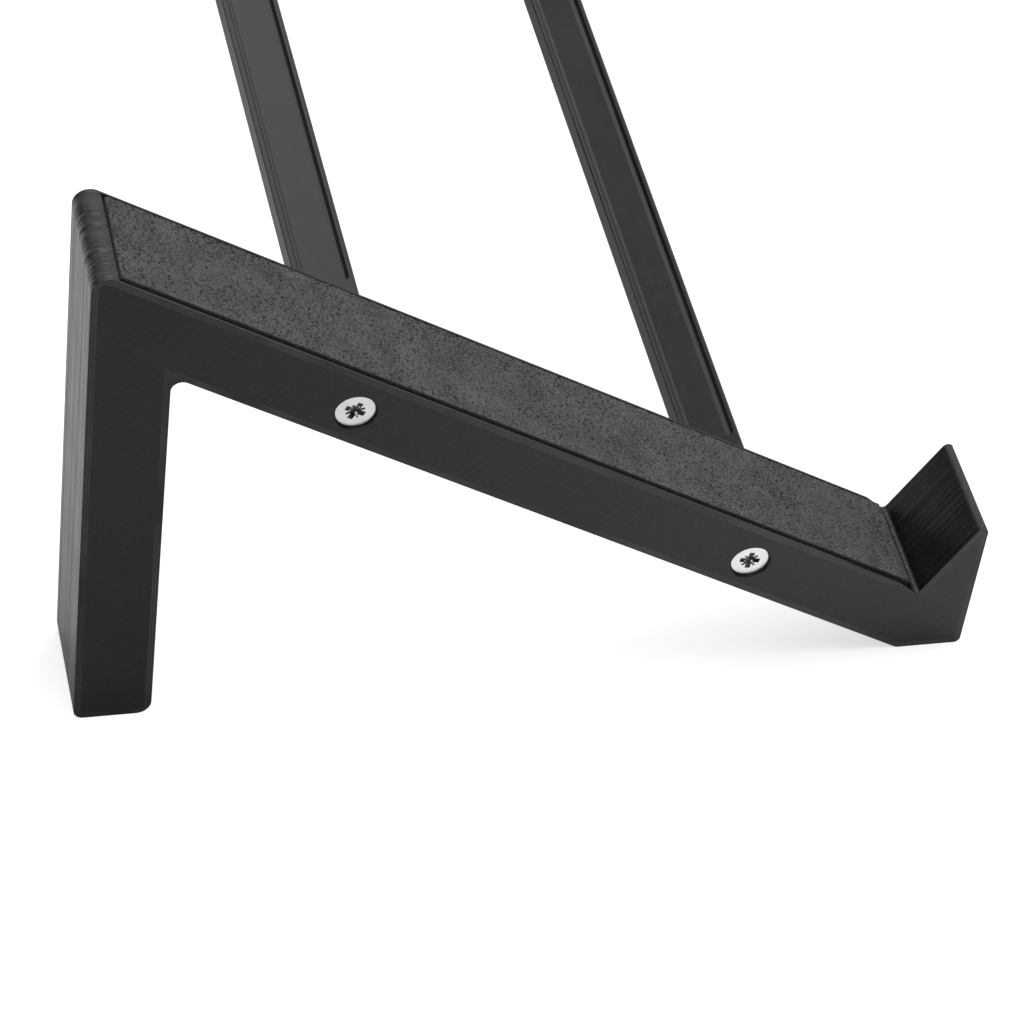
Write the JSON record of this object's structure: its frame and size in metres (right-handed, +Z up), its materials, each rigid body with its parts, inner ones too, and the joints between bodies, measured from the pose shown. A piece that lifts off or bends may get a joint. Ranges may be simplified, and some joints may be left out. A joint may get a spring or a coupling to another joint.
{
  "type": "photo album stand",
  "caption": "Low sloping stand for an open photo album: padded side brackets with front lips, tied by level crossbars and end screws.",
  "frame": {"origin": "on the surface it stands on, under the middle of the stand's box", "axes": "+Z up, X across the stand from one bracket to the other, front lips towards -Y and rear legs towards +Y"},
  "size_m": [0.26, 0.1808, 0.1126],
  "materials": {
    "printed_bracket": "satin black plastic, printed on its side, with fine layer lines on every edge face",
    "printed_crossbar": "satin black plastic with fine lengthwise layer lines",
    "foam_pad": "dark grey cellular foam with open pits",
    "adhesive_film": "thin self-adhesive film",
    "zinc_screw": "bright zinc plate"
  },
  "bodies": {
    "root": {"left_bracket": "printed_bracket", "right_bracket": "printed_bracket", "left_pad": "foam_pad", "right_pad": "foam_pad", "left_pad_adhesive": "adhesive_film", "right_pad_adhesive": "adhesive_film", "rear_crossbar": "printed_crossbar", "front_crossbar": "printed_crossbar", "left_rear_screw": "zinc_screw", "left_front_screw": "zinc_screw", "right_rear_screw": "zinc_screw", "right_front_screw": "zinc_screw"}
  },
  "joints": []
}
